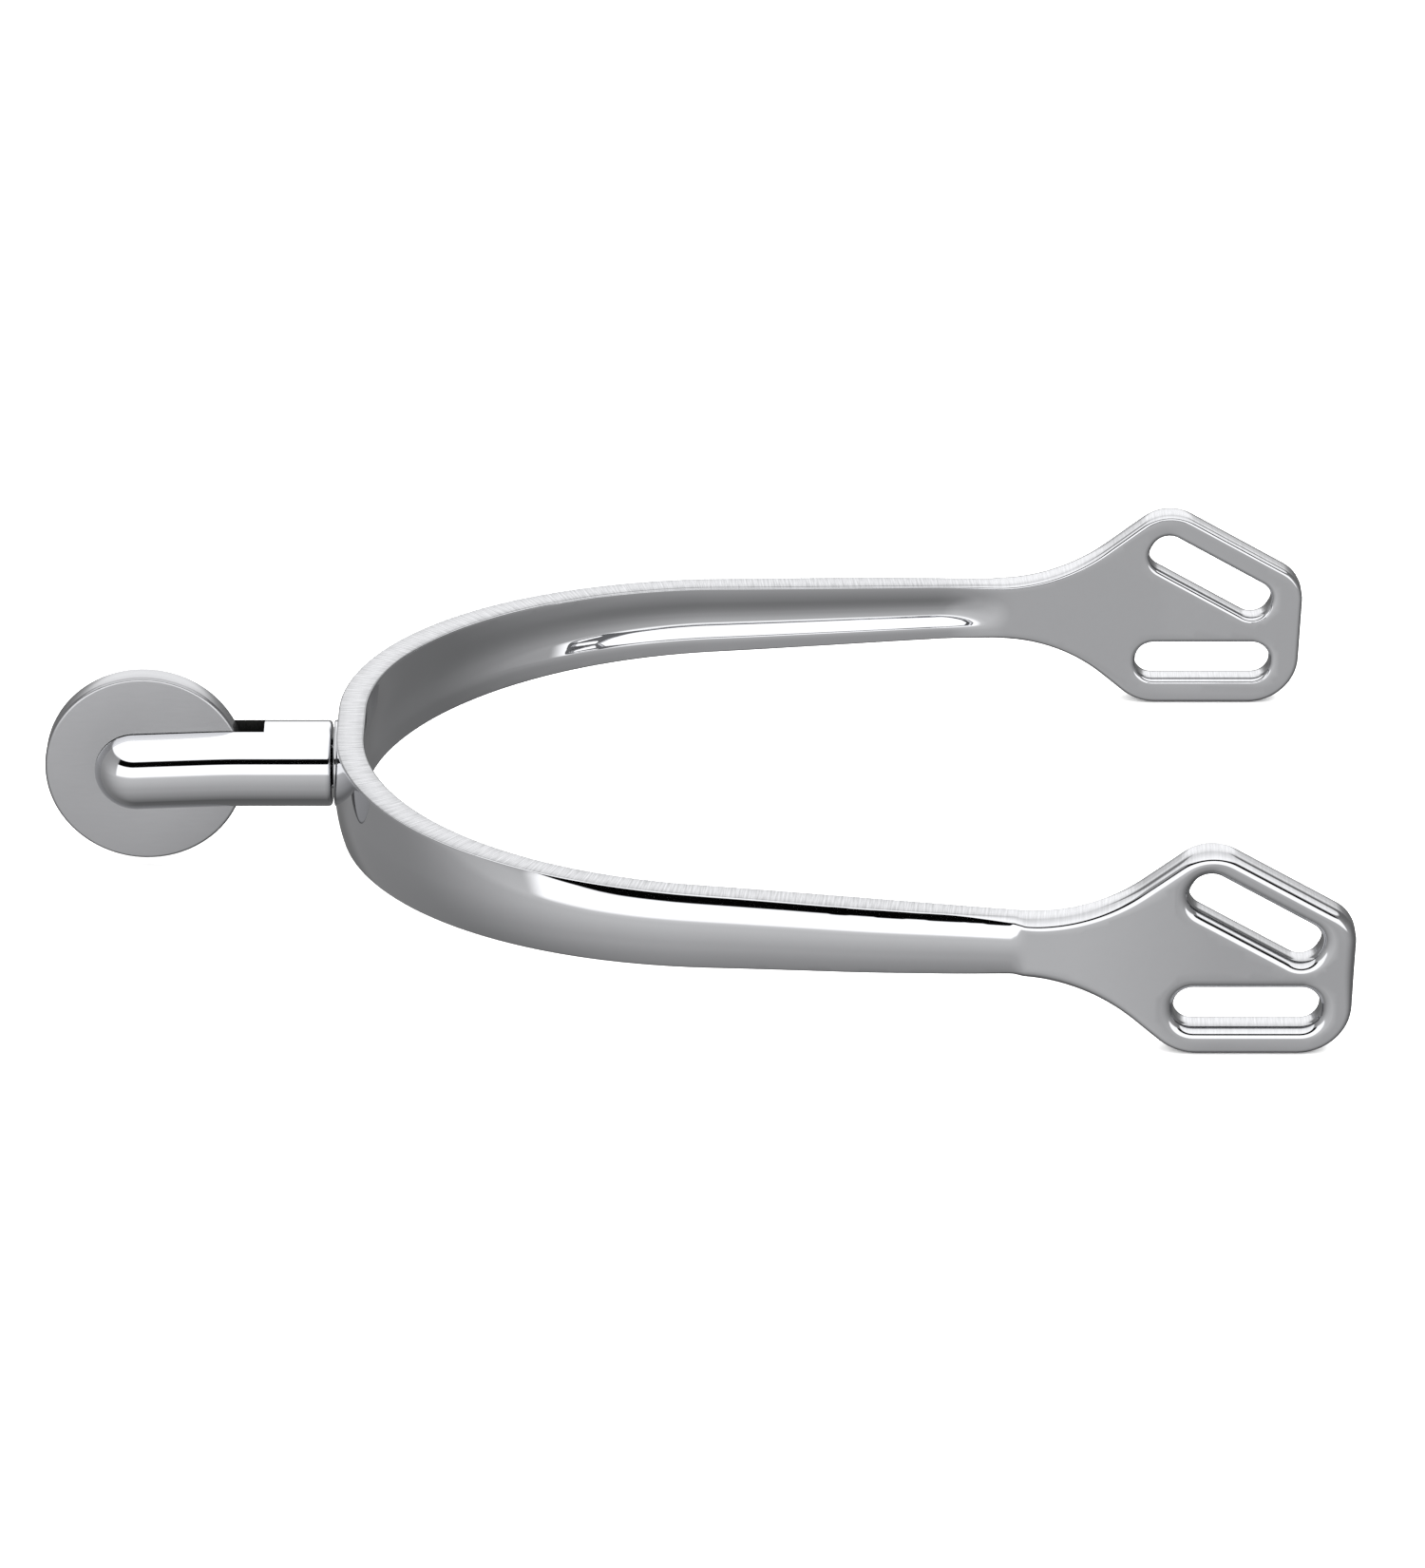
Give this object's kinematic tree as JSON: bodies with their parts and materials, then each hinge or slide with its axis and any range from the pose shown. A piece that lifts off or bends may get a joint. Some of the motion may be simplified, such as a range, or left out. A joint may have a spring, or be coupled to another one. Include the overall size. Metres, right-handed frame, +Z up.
{
  "type": "riding spur",
  "caption": "U-shaped heel band with two slotted strap plates and a short forked neck that carries a smooth free-spinning disc rowel.",
  "frame": {"origin": "middle of the underside of the whole part's box; the undersides of the two strap plates lie on Z = 0", "axes": "+X from the heel towards the strap plates, +Y to the wearer's left, +Z up when the spur is worn; Y = 0 is the plane of symmetry"},
  "size_m": [0.1286, 0.0824, 0.0214],
  "materials": {
    "polished_steel": "mirror-polished stainless steel with ground edges",
    "satin_steel": "fine satin-ground stainless steel"
  },
  "bodies": {
    "spur": {"heel_band": "polished_steel", "neck": "polished_steel", "neck_stud": "satin_steel", "rowel_pin": "polished_steel"},
    "rowel": {"rowel": "satin_steel"}
  },
  "joints": [
    {"name": "rowel_spin", "type": "hinge", "parent": "spur", "child": "rowel", "pos_m": [-0.05426, 0, 0.01128], "axis": [0, 1, 0], "continuous": true}
  ]
}
